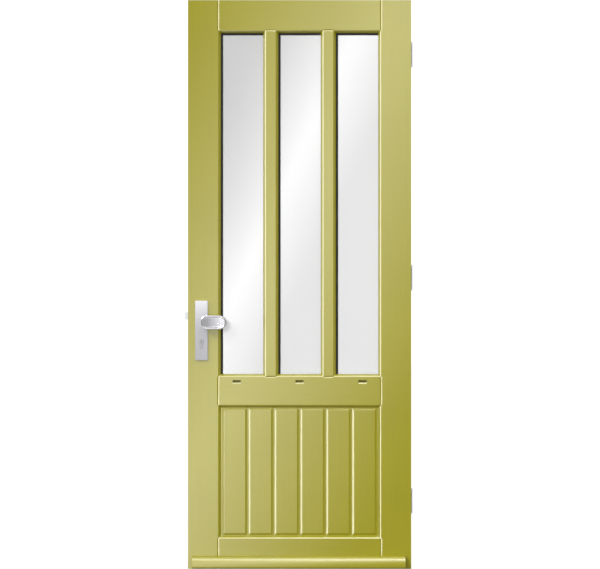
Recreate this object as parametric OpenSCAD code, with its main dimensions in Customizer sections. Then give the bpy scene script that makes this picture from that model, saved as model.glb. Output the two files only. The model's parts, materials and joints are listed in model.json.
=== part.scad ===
// Painted timber front door leaf with three tall panes, a boarded panel, a lock set and butt hinges.
// Seen from outside, +X runs to the right, -Y points out of the house and +Z is up.
// The origin is the middle of the leaf's bottom edge, on its mid-plane.

/* [Leaf] */
// Width of the leaf
leaf_w = 830; // [730:1:1030]
// Height of the leaf
leaf_h = 2115; // [1950:1:2400]
// Thickness of the leaf
leaf_t = 54; // [50:1:66]
// Flat face of each stile, from the leaf's edge to the arris
stile_face_w = 112; // [104:1:140]
// Flat face of the top rail
top_rail_face_h = 112; // [90:1:150]
// Flat face of the lock rail
lock_rail_face_h = 104; // [96:1:160]
// Height of the lock rail's lower arris above the leaf's bottom
lock_rail_z = 610; // [450:1:640]
// Flat face of the bottom rail
bottom_rail_face_h = 113; // [100:1:220]
// Flat face of each muntin
muntin_face_w = 36; // [30:1:60]

/* [Edge moulding] */
// Width of the moulded bevel around each opening
bevel_w = 10.5; // [9:0.5:13]
// Depth of the lip that the bevel runs down, in front of glass and boards
lip_d = 13; // [10:0.5:14]
// Width of the shallow chamfer at the arris
arris_w = 4; // [2:0.5:5]
// Depth of the shallow chamfer at the arris
arris_d = 2.5; // [1:0.5:4]
// How far the rebates and grooves run in behind the lip
rebate_cover = 15; // [13:0.5:18]
// Width of the V-groove over each joint
v_groove_w = 8; // [4:0.5:10]
// Depth of the V-groove over each joint
v_groove_d = 2.5; // [1:0.5:4]

/* [Glazing] */
// Thickness of each glass pane
glass_t = 4; // [3:0.5:6]
// Space between the two panes of a unit
gas_gap = 14; // [12:0.5:15]
// Thickness of the seals on both sides of a unit
seal_t = 3; // [2:0.5:4]
// Thickness of the setting blocks below and to the right of a unit
block_t = 3; // [2:0.5:5]
// Width of the black seal that shows at the left and top of a pane
edge_show = 7.5; // [3:0.5:9]
// Bevel on the inner glazing beads
bead_bevel = 6; // [3:0.5:8]

/* [Panel boards] */
// Height of the raised field over the board's floor
board_raise = 4; // [3:0.5:9]
// Width of the bevel around a raised field
board_bevel = 6.5; // [4:0.5:10]
// Floor between two raised fields
board_groove_w = 6.4; // [4:0.2:12]
// Floor between a stile's lip and the next raised field
side_floor_w = 6.5; // [2:0.5:12]
// Floor between a rail's lip and the end of a raised field
end_floor_w = 2.5; // [0.5:0.5:8]
// Thickness of the tongue that joins two boards
tongue_t = 8; // [5:0.5:10]
// Length of the tongue that joins two boards
tongue_l = 6; // [4:0.5:8]

/* [Drain slots] */
// Width of a drain slot
slot_w = 30; // [20:1:40]
// Height of a drain slot behind its splay
slot_h = 9; // [6:0.5:12]
// Height of the splayed lower edge
slot_splay = 5; // [3:0.5:7]
// Depth of the splayed lower edge
slot_splay_d = 3; // [2:0.5:5]
// Distance from the lock rail's upper arris down to a slot's middle
slot_drop = 16.5; // [15:0.5:24]
// Distance between neighbouring slots
slot_pitch = 234; // [180:0.5:236]

/* [Weatherboard] */
// Gap from the leaf's edge on the lock side
weather_gap_lock = 16; // [12:1:30]
// Gap from the leaf's edge on the hinge side
weather_gap_hinge = 22; // [12:1:30]
// Height of its underside above the leaf's bottom
weather_z = 3; // [0:0.5:10]
// Height of its section
weather_h = 46; // [40:1:60]
// How far it stands out from the leaf's face
weather_out = 36; // [30:1:50]
// Fall of its top towards the nose
weather_fall = 2; // [1:0.5:6]
// Height of its rounded nose
weather_nose_h = 34; // [20:0.5:36]
// Depth of its rounded nose
weather_nose_d = 24; // [12:0.5:28]
// Radius of its lower front edge
weather_heel_r = 8; // [3:0.5:9]
// Radius of the drip groove underneath
drip_r = 3; // [2:0.5:4]

/* [Handle set] */
// Distance from the leaf's edge to the spindle
backset = 50; // [46:1:60]
// Height of the spindle
spindle_z = 917; // [900:1:1100]
// Distance from the spindle down to the cylinder
lock_centres = 72; // [70:1:92]
// Width of both handle plates
plate_w = 46; // [40:1:52]
// How far the plates run on above the lock case
plate_above = 32; // [26:1:60]
// How far the plates run on below the lock case
plate_below = 23; // [19:1:60]
// Corner radius of both plates
plate_corner_r = 3; // [1:0.5:8]
// Thickness of the outer plate
outer_plate_t = 10; // [8:0.5:14]
// Thickness of the inner plate
inner_plate_t = 8; // [7:0.5:12]
// Length of the oblong pull
pull_l = 97; // [80:1:120]
// Height of the oblong pull
pull_h = 52; // [44:1:60]
// Thickness of the pull at its rim
pull_t = 15; // [12:0.5:20]
// How far the pull's rim stands out from the leaf's face
pull_out = 58; // [50:1:75]
// Width of the pull's rim
pull_rim = 7; // [4:0.5:9]
// Depth of the pull's dished face
pull_dish = 6; // [3:0.5:8]
// Overhang of the pull past the spindle, towards the lock edge
pull_overhang = 5; // [0:1:12]
// Length of the lever from the spindle
lever_l = 104; // [95:1:140]
// Height of the lever's grip
lever_h = 20; // [18:1:26]
// Thickness of the lever's grip
lever_t = 12; // [9:0.5:16]
// How far the lever's grip stands off the inner plate
lever_standoff = 24; // [20:1:40]

/* [Lock] */
// Depth of the lock case behind the forend
case_d = 80; // [76:1:84]
// Thickness of the lock case
case_t = 15; // [15:0.5:18]
// How far the case runs on above the latch's head
case_over_latch = 10.5; // [6:0.5:20]
// How far the case runs on below the cylinder
case_under_cylinder = 20.5; // [16:0.5:30]
// Width of the forend
forend_w = 24; // [20:1:28]
// Thickness of the forend
forend_t = 3; // [2:0.5:4]
// How far the forend runs on above the case
forend_above = 34; // [28:1:45]
// How far the forend runs on below the case
forend_below = 36; // [28:1:45]
// How far the latch stands out of the forend
latch_out = 12; // [10:0.5:13]
// Height of the latch's head
latch_h = 28; // [22:1:30]
// Height of the deadbolt
deadbolt_h = 30; // [24:1:32]
// Side of the square spindle
spindle_side = 8; // [7:0.5:9]

/* [Hinges] */
// Height of each hinge
hinge_h = 89; // [80:1:110]
// Thickness of the flaps
flap_t = 3; // [2.5:0.1:4]
// Width of the flaps on the leaf's edge
flap_w = 36; // [32:1:44]
// Gap between the leaf's edge and the frame
hinge_gap = 3; // [2.6:0.1:4]
// Radius of the barrel
barrel_r = 7; // [6.6:0.1:9]
// Radius of the pin
pin_r = 4; // [3:0.1:4.5]
// Distance from the leaf's top to the top hinge's middle
hinge_top_drop = 200; // [150:1:300]
// Height of the bottom hinge's middle
hinge_bottom_rise = 250; // [200:1:300]

/* [Hidden] */
$fn = 64;
// What every cut runs past the face it opens
cut_over = 1;
// Clearance of parts that turn in each other, on the radius
turn_gap = 0.05;
// Clearance of parts that slide or pass through each other
pass_gap = 0.4;
// Clearance of glued and screwed fits
seat_gap = 0.1;

PANES = ["left", "middle", "right"];
HINGES = ["top", "middle", "bottom"];
board_count = 6;
pane_count = len(PANES);

half_w = leaf_w / 2;
half_t = leaf_t / 2;

// Lines of the openings, from the leaf's middle
stile_arris_x = half_w - stile_face_w;
stile_sight_x = stile_arris_x - bevel_w;
stile_groove_x = stile_sight_x + rebate_cover;
groove_back = rebate_cover - bevel_w;
top_arris_z = leaf_h - top_rail_face_h;
lock_top_z = lock_rail_z + lock_rail_face_h;
lock_mid_z = lock_rail_z + lock_rail_face_h / 2;
pane_pitch = (2 * stile_arris_x + muntin_face_w) / pane_count;
pane_arris_w = pane_pitch - muntin_face_w;

// Glazing rebate and sight opening of one pane
sight_w = pane_arris_w - 2 * bevel_w;
sight_z = lock_top_z + bevel_w;
sight_top_z = top_arris_z - bevel_w;
rebate_w = sight_w + 2 * rebate_cover;
rebate_z = sight_z - rebate_cover;
rebate_top_z = sight_top_z + rebate_cover;
unit_t = 2 * glass_t + gas_gap;
unit_front_y = -half_t + lip_d + seal_t;
unit_back_y = unit_front_y + unit_t;
bead_front_y = unit_back_y + seal_t;
unit_w = rebate_w - 2 * block_t - edge_show;
unit_h = rebate_top_z - rebate_z - 2 * block_t - edge_show;
spacer_w = rebate_cover - block_t;
block_l = 40;
block_side_share = 0.3;
block_end_share = 0.12;

// Panel boards
floor_y = half_t - lip_d;
panel_sight_w = 2 * stile_sight_x;
panel_sight_z = bottom_rail_face_h + bevel_w;
panel_sight_top_z = lock_rail_z - bevel_w;
board_gap = 1;
field_w = (panel_sight_w - (board_count - 1) * board_groove_w - 2 * side_floor_w) / board_count;
board_pitch = field_w + board_groove_w;
board_z = panel_sight_z - rebate_cover + board_gap;
board_h = panel_sight_top_z - panel_sight_z + 2 * rebate_cover - 2 * board_gap;

// Dowels in the joints
dowel_r = 6;
dowel_reach = 45;
dowel_share = 0.25;
muntin_dowel_r = 5;
muntin_dowel_reach = 30;
muntin_dowel_y = (bead_front_y + unit_front_y) / 2;

// Weatherboard
weather_tongue_l = 8;
weather_tongue_t = 10;
weather_tongue_share = 0.35;
drip_share = 0.6;
weather_land = 1;
arc_steps = 8;
nose_steps = 24;

// Places of the handle set and the lock
spindle_x = -half_w + backset;
cylinder_z = spindle_z - lock_centres;
cyl_drop = 24.5;
arm_r = 3;
arm_reach = 22;
latch_z = spindle_z + arm_reach + arm_r / 2;
case_z = cylinder_z - cyl_drop - case_under_cylinder;
case_h = latch_z + latch_h / 2 + case_over_latch - case_z;
plate_z = case_z - plate_below;
plate_h = case_h + plate_above + plate_below;
plate_bolt_r = 2.5;
plate_bolt_head_r = 5;
plate_bolt_inset = 12;
plate_bolt_grip = 7;
pull_neck_r = 10;
pull_stub_r = 6;
pull_front_y = -half_t - pull_out;
pull_back_y = pull_front_y + pull_t;
pull_end_r = pull_h / 2;
pull_left_x = spindle_x - pull_overhang;
pull_neck_x = pull_left_x + pull_neck_r + pull_rim;
pull_edge = 2.5;
lever_neck_r = 9;
lever_y = half_t + inner_plate_t + lever_standoff;
lever_socket_share = 0.3;
lever_socket_y = lever_y + lever_t * lever_socket_share;
lever_screw_r = 2.5;

// Lock case and what runs in it
case_wall = 1.5;
case_x = -half_w + forend_t;
case_in = case_t / 2 - case_wall;
forend_z = case_z - forend_below;
forend_h = case_h + forend_above + forend_below;
forend_screw_inset = 11;
forend_screw_r = 2.5;
forend_screw_l = 30;
forend_screw_head_r = 4.6;
hub_r = 10;
journal_r = 8;
arm_back_y = 1.4;
latch_head_l = 32;
latch_y = case_in - pass_gap;
strap_y = arm_back_y + pass_gap;
strap_h = 6;
collar_gap = 2.6;
collar_t = 6;
collar_h = 15;
spring_r = 4;
spring_wire_r = 0.6;
spring_turns = 6;
spring_sides = 8;
spring_steps = 14;
deadbolt_y = case_in - pass_gap;
deadbolt_z = cylinder_z + lock_centres / 2;
deadbolt_l = 70;
deadbolt_sunk = 0.5;
deadbolt_throw = 20;
post_r = 3;
post_share = 0.42;

// Profile cylinder
cyl_r = 8.5;
cyl_tail_w = 10;
cyl_proud = 2;
plug_r = 6.5;
cam_half = 5;
cam_r = 8;
cam_reach = 15;
cam_nose_w = 8;
cyl_gap_drop = 16;
cyl_screw_drop = 20;
cyl_screw_r = 2.5;
key_slot_w = 2.4;
key_slot_h = 9;
key_slot_l = 24;
cyl_out_y = -half_t - outer_plate_t - cyl_proud;
cyl_in_y = half_t + inner_plate_t + cyl_proud;

// Hinges
hinge_x = half_w + hinge_gap / 2;
barrel_gap = 1;
hinge_y = half_t + barrel_r + barrel_gap;
knuckle_count = 5;
knuckle_gap = 0.4;
knuckle_h = hinge_h / knuckle_count;
pin_tip_r = 5.5;
pin_tip_h = 3;
hinge_hole_r = 2.6;
hinge_head_r = 5;
hinge_head_d = 2;
hinge_hole_inset = 10;
hinge_hole_dy = 16;
hinge_hole_dz = 56;
hinge_screw_l = 32;
HINGE_Z = [
    leaf_h - hinge_top_drop,
    (leaf_h - hinge_top_drop + hinge_bottom_rise) / 2,
    hinge_bottom_rise
];

PAINT = "#b3ad58";
GLASS = "#dfe5e4";
BLACK = "#201f1b";
ALUMINIUM = "#d9d8dc";
STEEL = "#a9abad";
NICKEL = "#c4c3c2";
BEECH = "#c9a477";

// Points round one moulded edge, from the outer face to the inner face, with its arris at u = face
function edge_points(face) = [
    [face, -half_t],
    [face + arris_w, -half_t + arris_d],
    [face + bevel_w, -half_t + lip_d],
    [face - groove_back, -half_t + lip_d],
    [face - groove_back, half_t - lip_d],
    [face + bevel_w, half_t - lip_d],
    [face + arris_w, half_t - arris_d],
    [face, half_t]
];

// The same points on the other side of u = 0, in the order that goes on round the section
function other_edge(points) = [for (i = [len(points) - 1 : -1 : 0]) [-points[i][0], points[i][1]]];

function pane_x(i) = (i - (pane_count - 1) / 2) * pane_pitch;
function unit_x(i) = pane_x(i) + edge_show / 2;
function joint_x(i) = (i - board_count / 2) * board_pitch;
function oval_points(x, z, out, up, from, to, steps) =
    [for (i = [0 : steps]) let (a = from + (to - from) * i / steps) [x + out * cos(a), z + up * sin(a)]];
function arc_points(x, z, r, from, to) = oval_points(x, z, r, r, from, to, arc_steps);

module bar_with_one_edge(face, length) {
    linear_extrude(length) polygon(concat([[0, -half_t]], edge_points(face), [[0, half_t]]));
}

module bar_with_two_edges(face, length) {
    linear_extrude(length) polygon(concat(edge_points(face / 2), other_edge(edge_points(face / 2))));
}

// Lays a section drawn as (depth, height) along X, centred on x = 0
module along_x(length) {
    translate([-length / 2, 0, 0]) rotate([90, 0, 90]) linear_extrude(length) children();
}

// Lays an outline drawn as (x, height) along Y, from y = front to y = back
module along_y(front, back) {
    translate([0, back, 0]) rotate([90, 0, 0]) linear_extrude(back - front) children();
}

// A block that stands in y = 0 and whose four sides slope in towards -Y from there
module bevelled_block(w, h, d, bevel) {
    intersection() {
        linear_extrude(h) polygon([
            [-w / 2, cut_over], [w / 2, cut_over], [w / 2, 0],
            [w / 2 - bevel, -d], [-w / 2 + bevel, -d], [-w / 2, 0]
        ]);
        along_x(w) polygon([[cut_over, 0], [0, 0], [-d, bevel], [-d, h - bevel], [0, h], [cut_over, h]]);
    }
}

// V-shaped cut that opens towards -Y and runs up Z
module v_cut(length) {
    linear_extrude(length) polygon([
        [-v_groove_w / 2, -cut_over], [v_groove_w / 2, -cut_over], [v_groove_w / 2, 0],
        [0, v_groove_d], [-v_groove_w / 2, 0]
    ]);
}

// The V-grooves over the joints of stiles and rails, on both faces
module joint_grooves() {
    for (side = [-1, 1]) for (face = [-1, 1])
        translate([side * stile_arris_x, face * half_t, 0]) rotate([0, 0, face == 1 ? 180 : 0]) {
            translate([0, 0, -cut_over]) v_cut(bottom_rail_face_h + cut_over);
            translate([0, 0, lock_rail_z]) v_cut(lock_rail_face_h);
            translate([0, 0, top_arris_z]) v_cut(top_rail_face_h + cut_over);
        }
}

// The V-grooves over the joints of muntins and rails, on the outer face
module muntin_grooves() {
    for (side = [-1, 1]) for (z = [lock_top_z, top_arris_z])
        translate([side * pane_pitch / 2 - muntin_face_w / 2, -half_t, z]) rotate([0, 90, 0])
            v_cut(muntin_face_w);
}

module dowel_bores(gap) {
    for (side = [-1, 1]) for (up = [-1, 1]) for (rail = [
        [bottom_rail_face_h / 2, bottom_rail_face_h],
        [lock_mid_z, lock_rail_face_h],
        [leaf_h - top_rail_face_h / 2, top_rail_face_h]
    ])
        translate([side * stile_groove_x - dowel_reach - gap, 0, rail[0] + up * rail[1] * dowel_share])
            rotate([0, 90, 0]) cylinder(r = dowel_r + gap, h = 2 * (dowel_reach + gap));
    for (side = [-1, 1]) for (z = [rebate_z, rebate_top_z])
        translate([side * pane_pitch / 2, muntin_dowel_y, z - muntin_dowel_reach - gap])
            cylinder(r = muntin_dowel_r + gap, h = 2 * (muntin_dowel_reach + gap));
}

module dowels() {
    color(BEECH) dowel_bores(0);
}

module stile_blank(side) {
    mirror([side == 1 ? 1 : 0, 0, 0]) translate([-half_w, 0, 0]) bar_with_one_edge(stile_face_w, leaf_h);
}

// Opens the inner side of a stile or muntin between the rails, so that glass and beads go in
module glazing_rebate(i) {
    translate([pane_x(i) - rebate_w / 2, -half_t + lip_d, rebate_z])
        cube([rebate_w, leaf_t, rebate_top_z - rebate_z]);
}

module lock_cuts() {
    translate([-half_w - cut_over, -forend_w / 2, forend_z]) cube([forend_t + cut_over, forend_w, forend_h]);
    translate([case_x - cut_over, -case_t / 2 - pass_gap, case_z - pass_gap])
        cube([case_d + pass_gap + cut_over, case_t + 2 * pass_gap, case_h + 2 * pass_gap]);
    along_y(-half_t - cut_over, half_t + cut_over) cylinder_outline(pass_gap);
    translate([spindle_x, 0, spindle_z]) rotate([-90, 0, 0])
        cylinder(r = hub_r + pass_gap, h = half_t + cut_over);
    for (z = [plate_z + plate_bolt_inset, plate_z + plate_h - plate_bolt_inset])
        translate([spindle_x, -half_t - cut_over, z]) rotate([-90, 0, 0])
            cylinder(r = plate_bolt_r + pass_gap, h = leaf_t + 2 * cut_over);
    for (z = [forend_z + forend_screw_inset, forend_z + forend_h - forend_screw_inset])
        translate([-half_w, 0, z]) rotate([0, 90, 0])
            cylinder(r = forend_screw_r + seat_gap, h = forend_screw_l + seat_gap);
}

module lock_stile() {
    color(PAINT) difference() {
        stile_blank(-1);
        glazing_rebate(0);
        joint_grooves();
        dowel_bores(seat_gap);
        lock_cuts();
    }
}

module hinge_stile() {
    color(PAINT) difference() {
        stile_blank(1);
        glazing_rebate(pane_count - 1);
        joint_grooves();
        dowel_bores(seat_gap);
        for (z = HINGE_Z) {
            translate([half_w - flap_t, half_t - flap_w, z - hinge_h / 2])
                cube([flap_t + cut_over, flap_w + cut_over, hinge_h]);
            hinge_hole_places(z) translate([half_w - hinge_screw_l - seat_gap, 0, 0]) rotate([0, 90, 0])
                cylinder(r = hinge_hole_r, h = hinge_screw_l);
        }
    }
}

// A rail runs from groove to groove and is shaped at its ends to fit over the stiles' lips
module rail_ends() {
    stile_blank(-1);
    stile_blank(1);
    joint_grooves();
    muntin_grooves();
    dowel_bores(seat_gap);
}

module top_rail_blank() {
    translate([-stile_groove_x, 0, leaf_h]) rotate([0, 90, 0])
        bar_with_one_edge(top_rail_face_h, 2 * stile_groove_x);
}

module lock_rail_blank() {
    translate([-stile_groove_x, 0, lock_mid_z]) rotate([0, 90, 0])
        bar_with_two_edges(lock_rail_face_h, 2 * stile_groove_x);
}

module bottom_rail_blank() {
    mirror([0, 0, 1]) translate([-stile_groove_x, 0, 0]) rotate([0, 90, 0])
        bar_with_one_edge(bottom_rail_face_h, 2 * stile_groove_x);
}

// Clears the inner lip of a rail where the glazing rebate runs
module rail_rebate() {
    translate([-half_w, -half_t + lip_d, rebate_z]) cube([leaf_w, leaf_t, rebate_top_z - rebate_z]);
}

module top_rail() {
    color(PAINT) difference() {
        top_rail_blank();
        rail_rebate();
        rail_ends();
    }
}

// A drain slot leads from the glazing rebate to the outer face, with a splayed lower edge
module drain_slot() {
    mid = lock_top_z - slot_drop;
    low = mid - slot_h / 2;
    front = -half_t;
    riser = front + lip_d;
    along_x(slot_w) polygon([
        [front - cut_over, mid + slot_h / 2], [riser, mid + slot_h / 2],
        [riser, rebate_z + cut_over], [riser + slot_splay, rebate_z + cut_over],
        [riser + slot_splay, low], [front + slot_splay_d, low],
        [front, low - slot_splay], [front - cut_over, low - slot_splay]
    ]);
}

module lock_rail() {
    color(PAINT) difference() {
        lock_rail_blank();
        rail_rebate();
        rail_ends();
        for (i = [-1 : 1]) translate([i * slot_pitch, 0, 0]) drain_slot();
    }
}

module bottom_rail() {
    color(PAINT) difference() {
        bottom_rail_blank();
        rail_ends();
        along_x(leaf_w) weather_tongue(seat_gap);
    }
}

// A muntin is shaped over the rails' outer lips and fills the whole depth between two glazing rebates
module muntin(side) {
    color(PAINT) difference() {
        translate([side * pane_pitch / 2, 0, rebate_z])
            bar_with_two_edges(muntin_face_w, rebate_top_z - rebate_z);
        for (i = [0 : pane_count - 1]) glazing_rebate(i);
        difference() {
            union() {
                top_rail_blank();
                lock_rail_blank();
            }
            rail_rebate();
        }
        muntin_grooves();
        dowel_bores(seat_gap);
    }
}

// Boards run from groove to groove, raised on both faces, with a tongue on the right edge
module panel_board(i) {
    last = board_count - 1;
    left = i == 0 ? -stile_groove_x + board_gap : joint_x(i);
    right = i == last ? stile_groove_x - board_gap : joint_x(i + 1);
    middle = joint_x(i) + board_pitch / 2;
    color(PAINT) difference() {
        union() {
            translate([left, -floor_y, board_z]) cube([right - left, 2 * floor_y, board_h]);
            for (turn = [0, 180]) rotate([0, 0, turn])
                translate([turn == 0 ? middle : -middle, -floor_y, panel_sight_z + end_floor_w])
                    bevelled_block(field_w, panel_sight_top_z - panel_sight_z - 2 * end_floor_w,
                        board_raise, board_bevel);
            if (i < last) translate([right, -tongue_t / 2, board_z]) cube([tongue_l, tongue_t, board_h]);
        }
        if (i > 0) translate([left, -tongue_t / 2 - seat_gap, board_z - cut_over])
            cube([tongue_l + seat_gap, tongue_t + 2 * seat_gap, board_h + 2 * cut_over]);
    }
}

// The tongue that sits in the bottom rail, drawn as (depth, height)
module weather_tongue(gap) {
    translate([-half_t - cut_over, weather_z + weather_h * weather_tongue_share - gap])
        square([weather_tongue_l + cut_over + gap, weather_tongue_t + 2 * gap]);
}

module weatherboard() {
    length = leaf_w - weather_gap_lock - weather_gap_hinge;
    top = weather_z + weather_h;
    nose_x = weather_out - weather_nose_d;
    nose_h = min(weather_nose_h, weather_h - weather_fall - weather_heel_r - weather_land);
    nose_z = top - weather_fall - nose_h;
    drip_x = weather_out * drip_share;
    color(PAINT) union() {
        translate([(weather_gap_lock - weather_gap_hinge) / 2, -half_t, 0]) along_x(length) mirror([1, 0])
            polygon(concat(
                [[0, weather_z], [0, top]],
                oval_points(nose_x, nose_z, weather_nose_d, nose_h, 90, 0, nose_steps),
                arc_points(weather_out - weather_heel_r, weather_z + weather_heel_r, weather_heel_r, 0, -90),
                arc_points(drip_x, weather_z, drip_r, 0, 180)
            ));
        along_x(2 * (stile_sight_x - pass_gap)) weather_tongue(0);
    }
}

// Rectangle of a pane's glass unit, drawn as (x, height), drawn in by inset on every side
module unit_outline(i, inset) {
    translate([unit_x(i) - unit_w / 2 + inset, rebate_z + block_t + inset])
        square([unit_w - 2 * inset, unit_h - 2 * inset]);
}

// Opening that a pane shows, less what a seal covers at its left and top, drawn as (x, height)
module sight_outline(i, show) {
    translate([pane_x(i) - sight_w / 2 + show, sight_z])
        square([sight_w - show, sight_top_z - sight_z - show]);
}

module outer_pane(i) {
    color(GLASS, 0.4) along_y(unit_front_y, unit_front_y + glass_t) unit_outline(i, 0);
}

module inner_pane(i) {
    color(GLASS, 0.4) along_y(unit_back_y - glass_t, unit_back_y) unit_outline(i, 0);
}

module edge_seal(i) {
    color(BLACK) along_y(unit_front_y + glass_t, unit_back_y - glass_t) difference() {
        unit_outline(i, 0);
        unit_outline(i, spacer_w);
    }
}

// Seals round the units, which show beside the lip by show at the left and the top
module seal_rings(front, show) {
    color(BLACK) for (i = [0 : pane_count - 1]) along_y(front, front + seal_t) difference() {
        unit_outline(i, 0);
        sight_outline(i, show);
    }
}

module outer_seals() {
    seal_rings(unit_front_y - seal_t, edge_show);
}

module inner_seals() {
    seal_rings(unit_back_y, 0);
}

// Four mitred strips hold a unit in from the inner side
module glazing_beads(i) {
    x = pane_x(i);
    r = rebate_w / 2;
    s = sight_w / 2;
    color(PAINT) difference() {
        along_y(bead_front_y, half_t) {
            polygon([[x - r, rebate_z], [x + r, rebate_z], [x + s, sight_z], [x - s, sight_z]]);
            polygon([
                [x - s, sight_top_z], [x + s, sight_top_z], [x + r, rebate_top_z], [x - r, rebate_top_z]
            ]);
            for (side = [-1, 1]) polygon([
                [x + side * r, rebate_z + seat_gap], [x + side * s, sight_z + seat_gap],
                [x + side * s, sight_top_z - seat_gap], [x + side * r, rebate_top_z - seat_gap]
            ]);
        }
        translate([x, half_t, sight_z - bead_bevel])
            bevelled_block(sight_w + 2 * bead_bevel, sight_top_z - sight_z + 2 * bead_bevel,
                bead_bevel, bead_bevel);
    }
}

// Blocks carry a unit below and keep it in place at both sides and the top
module setting_blocks() {
    wide = block_t + edge_show;
    height = rebate_top_z - rebate_z;
    color(BLACK) for (i = [0 : pane_count - 1])
    translate([pane_x(i) - rebate_w / 2, unit_front_y, rebate_z]) {
        for (side = [-1, 1]) translate([rebate_w * (0.5 + side * block_side_share) - block_l / 2, 0, 0])
            cube([block_l, unit_t, block_t]);
        translate([rebate_w / 2 - block_l / 2, 0, height - wide]) cube([block_l, unit_t, wide]);
        for (share = [block_end_share, 1 - block_end_share]) {
            translate([0, 0, height * share - block_l / 2]) cube([wide, unit_t, block_l]);
            translate([rebate_w - block_t, 0, height * share - block_l / 2]) cube([block_t, unit_t, block_l]);
        }
    }
}

// Outline of a handle plate with rounded corners, drawn as (x, height)
module plate_outline() {
    r = plate_corner_r;
    translate([spindle_x - plate_w / 2, plate_z]) union() {
        translate([r, 0]) square([plate_w - 2 * r, plate_h]);
        translate([0, r]) square([plate_w, plate_h - 2 * r]);
        for (x = [r, plate_w - r]) for (z = [r, plate_h - r]) translate([x, z]) circle(r = r);
    }
}

// Outline of the profile cylinder, grown by gap, drawn as (x, height)
module cylinder_outline(gap) {
    translate([spindle_x, cylinder_z]) union() {
        circle(r = cyl_r + gap);
        translate([-cyl_tail_w / 2 - gap, -cyl_drop + cyl_tail_w / 2])
            square([cyl_tail_w + 2 * gap, cyl_drop - cyl_tail_w / 2]);
        translate([0, -cyl_drop + cyl_tail_w / 2]) circle(r = cyl_tail_w / 2 + gap);
    }
}

module plate_bolt_places() {
    for (z = [plate_z + plate_bolt_inset, plate_z + plate_h - plate_bolt_inset])
        translate([spindle_x, 0, z]) children();
}

module outer_plate() {
    color(ALUMINIUM) difference() {
        along_y(-half_t - outer_plate_t, -half_t) plate_outline();
        along_y(-half_t - outer_plate_t - cut_over, -half_t + cut_over) cylinder_outline(pass_gap);
        translate([pull_neck_x, -half_t - outer_plate_t - cut_over, spindle_z]) rotate([-90, 0, 0])
            cylinder(r = pull_stub_r + seat_gap, h = outer_plate_t + 2 * cut_over);
        plate_bolt_places() translate([0, -half_t - plate_bolt_grip - seat_gap, 0]) rotate([-90, 0, 0])
            cylinder(r = plate_bolt_r + seat_gap, h = plate_bolt_grip + seat_gap + cut_over);
    }
}

// Section of the dished pull from its middle line to its rim, drawn as (radius, depth behind the rim)
function pull_points() = concat(
    [[0, pull_t], [pull_end_r - 2 * pull_edge, pull_t], [pull_end_r, pull_t - 2 * pull_edge],
        [pull_end_r, pull_edge], [pull_end_r - pull_edge, 0], [pull_end_r - pull_rim, 0]],
    [for (i = [1 : arc_steps]) let (a = 90 * i / arc_steps)
        [(pull_end_r - pull_rim) * cos(a), pull_dish * sin(a)]]
);

module pull() {
    straight = pull_l - pull_h;
    color(ALUMINIUM) union() {
        translate([pull_left_x + pull_end_r, pull_front_y, spindle_z]) {
            for (end = [0, 1]) translate([end * straight, 0, 0]) intersection() {
                rotate([-90, 0, 0]) rotate_extrude() polygon(pull_points());
                translate([end == 0 ? -pull_h : 0, -pull_t, -pull_h]) cube([pull_h, 3 * pull_t, 2 * pull_h]);
            }
            rotate([0, 90, 0]) linear_extrude(straight)
                polygon(concat(pull_points(), other_edge(pull_points())));
        }
        translate([pull_neck_x, pull_back_y, spindle_z]) rotate([-90, 0, 0])
            cylinder(r = pull_neck_r, h = -half_t - outer_plate_t - pull_back_y);
        translate([pull_neck_x, pull_back_y, spindle_z]) rotate([-90, 0, 0])
            cylinder(r = pull_stub_r, h = -half_t - pull_back_y);
    }
}

module inner_plate() {
    color(ALUMINIUM) difference() {
        along_y(half_t, half_t + inner_plate_t) plate_outline();
        along_y(half_t - cut_over, half_t + inner_plate_t + cut_over) cylinder_outline(pass_gap);
        translate([spindle_x, half_t - cut_over, spindle_z]) rotate([-90, 0, 0])
            cylinder(r = lever_neck_r + turn_gap, h = inner_plate_t + 2 * cut_over);
        plate_bolt_places() translate([0, half_t + inner_plate_t, 0]) rotate([90, 0, 0]) {
            translate([0, 0, -cut_over])
                cylinder(r = plate_bolt_r + seat_gap, h = inner_plate_t + 2 * cut_over);
            bolt_head(seat_gap);
        }
    }
}

// Countersunk head with its top at z = 0 and its shank towards +Z, grown by gap on every side
module countersunk_head(head_r, shank_r, depth, gap) {
    widen = (head_r - shank_r) / depth;
    translate([0, 0, -gap])
        cylinder(r1 = head_r + gap + gap * widen, r2 = shank_r + gap, h = depth + gap);
}

module bolt_head(gap) {
    countersunk_head(plate_bolt_head_r, plate_bolt_r, plate_bolt_head_r - plate_bolt_r, gap);
}

module plate_bolts() {
    color(STEEL) plate_bolt_places() translate([0, half_t + inner_plate_t, 0]) rotate([90, 0, 0]) union() {
        cylinder(r = plate_bolt_r, h = inner_plate_t + leaf_t + plate_bolt_grip);
        bolt_head(0);
    }
}

module square_bar(side, length) {
    translate([-side / 2, 0, -side / 2]) cube([side, length, side]);
}

module lever() {
    end = lever_l - lever_h / 2;
    color(ALUMINIUM) translate([spindle_x, 0, spindle_z]) difference() {
        union() {
            translate([0, half_t, 0]) rotate([-90, 0, 0])
                cylinder(r = lever_neck_r, h = lever_y - half_t + lever_t / 2);
            translate([0, lever_y, 0]) rotate([-90, 0, 0]) {
                cylinder(r = lever_h / 2, h = lever_t);
                translate([end, 0, 0]) cylinder(r = lever_h / 2, h = lever_t);
                translate([0, -lever_h / 2, 0]) cube([end, lever_h, lever_t]);
            }
        }
        translate([0, half_t - cut_over, 0])
            square_bar(spindle_side + 2 * turn_gap, lever_socket_y - half_t + cut_over);
        translate([0, lever_y - lever_standoff / 2, 0]) rotate([180, 0, 0])
            cylinder(r = lever_screw_r + turn_gap, h = lever_neck_r + cut_over);
    }
}

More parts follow.
